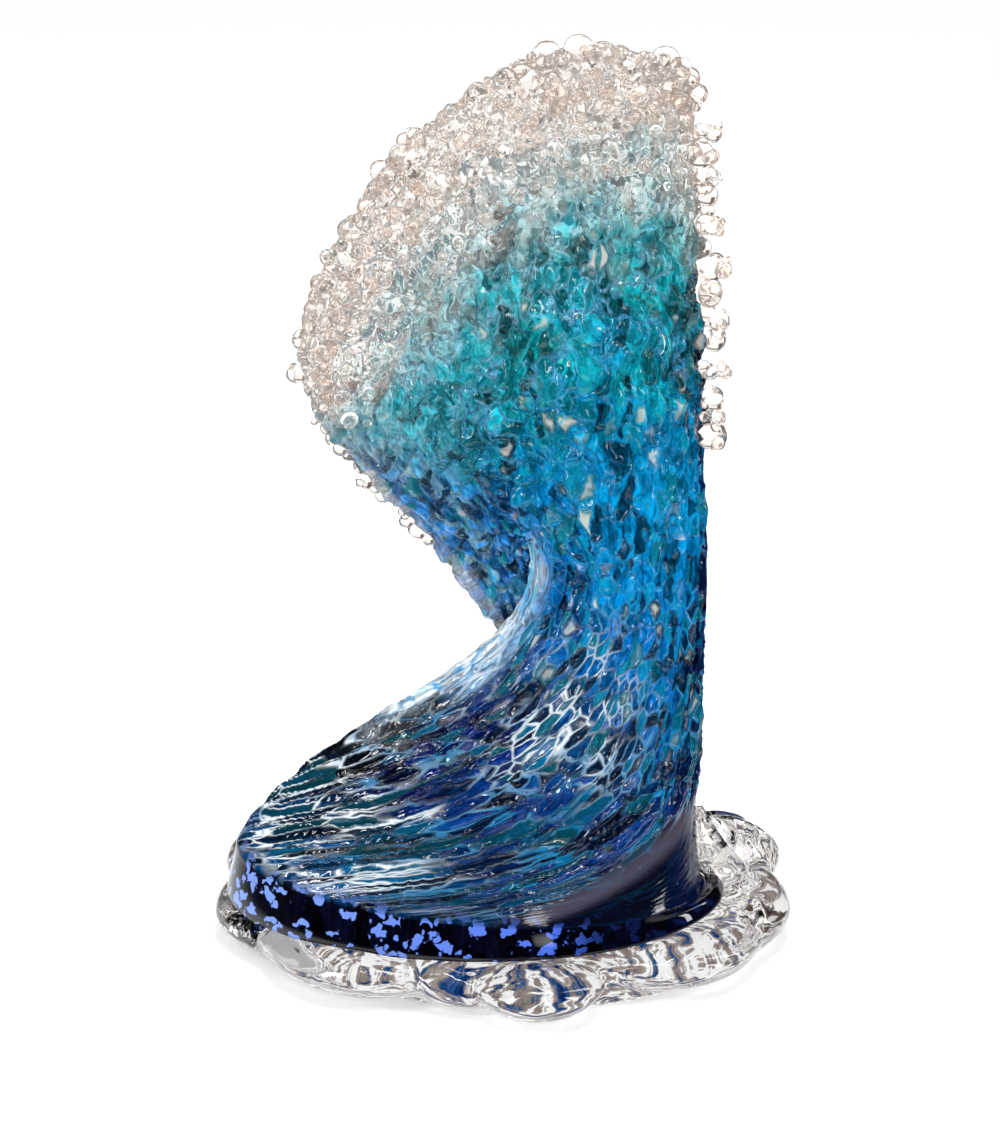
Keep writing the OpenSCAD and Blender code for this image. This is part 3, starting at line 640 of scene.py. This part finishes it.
def add_roll(made, flat, stations):
    """Joins one roll to the foot: a round bar along its points, pressed flat."""
    line = bpy.data.curves.new("roll", "CURVE")
    line.dimensions, line.bevel_depth, line.bevel_resolution, line.use_fill_caps = "3D", MM, 7, True
    spline = line.splines.new("NURBS")
    spline.points.add(len(stations) - 1)
    for spot, (x, y, z, half) in zip(spline.points, stations):
        spot.co, spot.radius = (x * MM, y * MM, z * MM / flat, 1), half
    spline.order_u, spline.use_endpoint_u, spline.resolution_u = 3, True, 12
    roll = bpy.data.objects.new("roll", line)
    bpy.context.collection.objects.link(roll)
    roll.scale = (1, 1, flat)
    only(roll)
    bpy.ops.object.convert(target="MESH")
    made.select_set(True)
    bpy.context.view_layer.objects.active = made
    bpy.ops.object.join()


def clear_foot():
    """The pool and the rolls of clear glass that were folded round it like a rope while it was soft."""
    bpy.ops.mesh.primitive_cylinder_add(vertices=96, radius=POOL_R * MM, depth=POOL_H * MM,
                                        location=(POOL_X * MM, 0, POOL_H / 2 * MM),
                                        scale=(POOL_STRETCH, 1, 1))
    made = bpy.context.active_object
    for flat, *stations in ROLLS:
        add_roll(made, flat, stations)
    made.name = "clear_foot"
    only(made)
    bpy.ops.object.transform_apply(location=True, rotation=True, scale=True)
    for kind, settings in (("REMESH", {"mode": "VOXEL", "voxel_size": FOOT_VOXEL * MM}),
                           ("SMOOTH", {"factor": 0.5, "iterations": 5})):
        modifier = made.modifiers.new(kind.lower(), kind)
        for key, value in settings.items():
            setattr(modifier, key, value)
        bpy.ops.object.modifier_apply(modifier=modifier.name)
    # what lies under the table's top is pressed flat on it
    spots = np.empty(len(made.data.vertices) * 3, np.float32)
    made.data.vertices.foreach_get("co", spots)
    spots[2::3] = np.maximum(spots[2::3], 0)
    made.data.vertices.foreach_set("co", spots)
    made.data.update()
    bpy.ops.object.shade_smooth()
    made.data.materials.clear()
    made.data.materials.append(clear_foot_glass())
    return made


def places_of(node):
    """Middle and radius of each loose drop of a CAD node."""
    work = bmesh.new()
    work.from_mesh(NODES[node].data)
    bmesh.ops.remove_doubles(work, verts=work.verts, dist=1e-6)
    seen, found = set(), []
    for start in work.verts:
        if start in seen:
            continue
        seen.add(start)
        island, todo = [], [start]
        while todo:
            v = todo.pop()
            island.append(v.co)
            for edge in v.link_edges:
                w = edge.other_vert(v)
                if w not in seen:
                    seen.add(w)
                    todo.append(w)
        spots = np.array(island)
        low, high = spots.min(0), spots.max(0)
        found.append(((low + high) / 2, (high - low).max() / 2))
    work.free()
    return found


def drops(name, spots, seed, material, grow=(0.95, 1.2), small=1):
    """Drops of clear glass let fall on the hot rim: each a little squashed, with smaller ones on it."""
    chance = np.random.default_rng(seed)
    shapes = []
    for centre, radius in spots:
        shapes.append((centre + chance.normal(size=3) * radius * 0.2, radius * chance.uniform(*grow)))
        for _ in range(small):
            way = chance.normal(size=3)
            way /= np.linalg.norm(way)
            shapes.append((centre + way * radius * 0.95, radius * chance.uniform(0.35, 0.7)))
    bpy.ops.object.select_all(action="DESELECT")
    made = []
    for centre, radius in shapes:
        bpy.ops.mesh.primitive_ico_sphere_add(
            subdivisions=3 if radius > BIG_DROP * MM else 2, radius=radius, location=centre,
            rotation=chance.uniform(0, 6.28, 3), scale=chance.uniform(0.82, 1.2, 3))
        made.append(bpy.context.active_object)
    bpy.ops.object.select_all(action="DESELECT")
    for one in made:
        one.select_set(True)
    bpy.context.view_layer.objects.active = made[0]
    bpy.ops.object.join()
    whole = bpy.context.active_object
    whole.name = name
    only(whole)
    bpy.ops.object.transform_apply(location=True, rotation=True, scale=True)
    bpy.ops.object.shade_smooth()
    whole.data.materials.append(material)
    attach(whole, "root")
    return whole


def froth_spots(count, seed):
    """Places for the small drops that half sink into the froth, front and back."""
    chance = np.random.default_rng(seed)
    u = chance.uniform(0.30, 0.98, count)
    angle = np.arccos(2 * u - 1) * np.where(chance.random(count) < 0.6, -1, 1)
    level = chance.uniform(np.where(u < 0.42, 2.94, 2.9), 2.99)
    radius = 1.1 + 1.6 * chance.random(count) ** 2
    sunk = radius * chance.uniform(0.0, 0.5, count)
    spot = ridged_wave(angle, level) + outward(angle, level) * sunk[:, None]
    return [(place * MM, size * MM) for place, size in zip(spot, radius)]


foot = clear_foot()
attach(foot, "root")
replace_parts(foot, "foot_pool", "left_lobe", "front_left_lobe", "front_small_lobe", "front_lobe",
            "front_right_lobe", "right_lobe", "folded_lobe", "back_right_lobe", "back_left_lobe",
            "left_back_lobe", "side_fin")

# Clear soda-lime glass, dripped hot and left as it fell: smooth, round and colourless, so each drop
# is a small lens with a bright rim.
# The drops carry the froth's faint painted glow.
clear = glass("clear_drop_glass", **{
    "Base Color": DROP_CLEAR, "Emission Color": FROTH_GLOW, "Emission Strength": FROTH_LIGHT})
for seed, (node, grow, small) in enumerate(BEADS):
    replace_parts(drops(node.replace("beads", "drops"), places_of(node), seed, clear, grow, small), node)
drops("froth_seeds", froth_spots(FROTH_SEEDS, 31), 32, clear, small=0)
for node in NODES.values():
    if not node.hide_render:
        node.data.materials.clear()
        node.data.materials.append(clear)


def pale_floor():
    """Matt white card, smooth and even. The camera sees it white with the object's shadow, and glass
    sees a white table that ends in a dark room."""
    material = bpy.data.materials.new("pale_floor")
    tree = clear_tree(material)
    node = partial(add, tree)
    path = node("ShaderNodeLightPath").node.outputs
    bent, mirrored = path["Is Transmission Ray"], path["Is Glossy Ray"]
    where = node("ShaderNodeTexCoord", out="Object")
    away = node("ShaderNodeVectorMath", [where], out="Value", operation="LENGTH")
    table = node("ShaderNodeMapRange", [away, *TABLE_FADE, 1.0, 0.03], interpolation_type="SMOOTHSTEP")
    seen = node("ShaderNodeMath", [table, mirrored], operation="MULTIPLY")
    # painted shadow: under the foot, glass sees the floor's glow dimmed, as though only what comes through lit
    # it
    open_floor = node("ShaderNodeMapRange", [away, *FOOT_SHADE, 0.1, 1.0])
    seen = node("ShaderNodeMix", {0: bent, 2: seen, 3: open_floor})
    seen = node("ShaderNodeMath", [seen, path["Is Camera Ray"]], operation="MAXIMUM")
    glow = node("ShaderNodeMath", [seen, 0.3], operation="MULTIPLY")
    pale = node("ShaderNodeBsdfDiffuse", {"Color": "#eeeeee"})
    lit = node("ShaderNodeAddShader", [pale, node("ShaderNodeEmission", {"Strength": glow})])
    # painted light that the foot gathers under itself, seen only through glass, every 12 mm or so:
    # white streaks, brown shade and the wave's blue
    gathered = node("ShaderNodeTexNoise", {
        "Vector": where, "Scale": 85.0, "Detail": 4.0, "Roughness": 0.6, "Distortion": 2.2})
    gathered = node("ShaderNodeValToRGB", [gathered], stops=[
        (0.36, "#08245c"), (0.41, "#2c5c98"), (0.43, "#786c66"), (0.51, "#a89e98"), (0.53, "#f4f8fa"),
        (0.64, "#ffffff"), (0.67, "#8c827c")])
    gathered = node("ShaderNodeEmission", {"Color": gathered, "Strength": 0.95})
    under = node("ShaderNodeMapRange", [away, *FOOT_LIGHT, 1.0, 0.0])
    under = node("ShaderNodeMath", [under, bent], operation="MULTIPLY")
    lit = node("ShaderNodeMixShader", [under, lit, gathered])
    beyond = node("ShaderNodeMath", [1.0, table], operation="SUBTRACT")
    beyond = node("ShaderNodeMath", [beyond, mirrored], operation="MULTIPLY")
    unbent = node("ShaderNodeMath", [1.0, bent], operation="SUBTRACT")
    beyond = node("ShaderNodeMath", [beyond, unbent], operation="MULTIPLY")
    dark = node("ShaderNodeBsdfDiffuse", {"Color": "#202020"})
    node("ShaderNodeOutputMaterial", [node("ShaderNodeMixShader", [beyond, lit, dark])])
    return material


def studio(world):
    """The room round the object, which the camera sees as plain white."""
    tree = clear_tree(world)
    node = partial(add, tree)
    path = node("ShaderNodeLightPath").node.outputs
    x, y, z = node("ShaderNodeSeparateXYZ", [node("ShaderNodeTexCoord", out="Generated")]).node.outputs
    bearing = node("ShaderNodeMath", [y, x], operation="ARCTAN2")
    bearing = node("ShaderNodeMath", [bearing, WINDOWS], operation="MULTIPLY")
    bearing = node("ShaderNodeMath", [bearing], operation="SINE")
    # through the glass: a white room with dark posts and a dark band
    bands = node("ShaderNodeValToRGB", [z], stops=[
        (0.0, WINDOW_WHITE), (0.30, WINDOW_WHITE), (0.34, POST_BROWN), (0.46, POST_BROWN),
        (0.52, WINDOW_WHITE)])
    posts = node("ShaderNodeValToRGB", [bearing], stops=[
        (0.0, WINDOW_WHITE), (0.64, WINDOW_WHITE), (0.74, POST_BROWN)])
    through = node("ShaderNodeMix", {0: 1.0, 6: bands, 7: posts}, out=2, data_type="RGBA",
                   blend_type="MULTIPLY")
    # in the glass: a dark room with tall windows and a pale ceiling
    windows = node("ShaderNodeMapRange", [bearing, 0.955, 0.985, 0.0, 9.0])
    over_sill = node("ShaderNodeMapRange", [z, 0.35, 0.45])
    under_top = node("ShaderNodeMapRange", [z, 0.85, 0.9, 1.0, 0.0])
    tall = node("ShaderNodeMath", [over_sill, under_top], operation="MULTIPLY")
    windows = node("ShaderNodeMath", [windows, tall], operation="MULTIPLY")
    ceiling = node("ShaderNodeMapRange", [z, 0.86, 0.97, 0.015, 1.0])
    mirrored = node("ShaderNodeMath", [windows, ceiling], operation="ADD")
    even = node("ShaderNodeBackground", {"Color": WINDOW_WHITE, "Strength": 0.75})
    room = node("ShaderNodeBackground", {"Color": through, "Strength": 1.0})
    dark = node("ShaderNodeBackground", {"Color": WINDOW_WHITE, "Strength": mirrored})
    white = node("ShaderNodeBackground", {"Color": WINDOW_WHITE, "Strength": 1.0})
    # a ray bent by glass counts as glossy too, so what it sees comes last
    sky = node("ShaderNodeMixShader", [path["Is Glossy Ray"], even, dark])
    sky = node("ShaderNodeMixShader", [path["Is Transmission Ray"], sky, room])
    sky = node("ShaderNodeMixShader", [path["Is Camera Ray"], sky, white])
    node("ShaderNodeOutputWorld", [sky])


def softbox(name, place, size, power):
    """A soft rectangular lamp that faces the wave's middle."""
    lamp = bpy.data.lights.new(name, "AREA")
    lamp.shape, lamp.size, lamp.size_y, lamp.energy = "RECTANGLE", size[0], size[1], power
    made = bpy.data.objects.new(name, lamp)
    made.location = place
    made.rotation_euler = (Vector((0, 0, 0.15)) - Vector(place)).to_track_quat("-Z", "Y").to_euler()
    bpy.context.collection.objects.link(made)


# The floor lies a tenth of a millimetre high, so that it and the foot's flat underside are told apart
bpy.ops.mesh.primitive_plane_add(size=12, location=(0, 0, 0.1 * MM))
floor = bpy.context.active_object
floor.name = "floor"
floor.data.materials.append(pale_floor())

bpy.context.scene.world = bpy.data.worlds.new("studio")
studio(bpy.context.scene.world)
softbox("left_softbox", (-1.1, -0.5, 0.9), (0.25, 0.8), 8)
softbox("right_softbox", (1.2, -0.4, 0.8), (0.2, 0.8), 6)
softbox("top_softbox", (0.1, 0.2, 1.5), (0.5, 0.4), 9)

lens = bpy.data.cameras.new("camera")
lens.lens, lens.sensor_fit, lens.sensor_height = 100, "VERTICAL", 36
camera = bpy.data.objects.new("camera", lens)
camera.location = (-0.000723, -1.03363, 0.47557)
camera.rotation_euler = (math.radians(72), 0, 0)
bpy.context.collection.objects.link(camera)
bpy.context.scene.camera = camera
bpy.context.scene.view_settings.view_transform = "Standard"
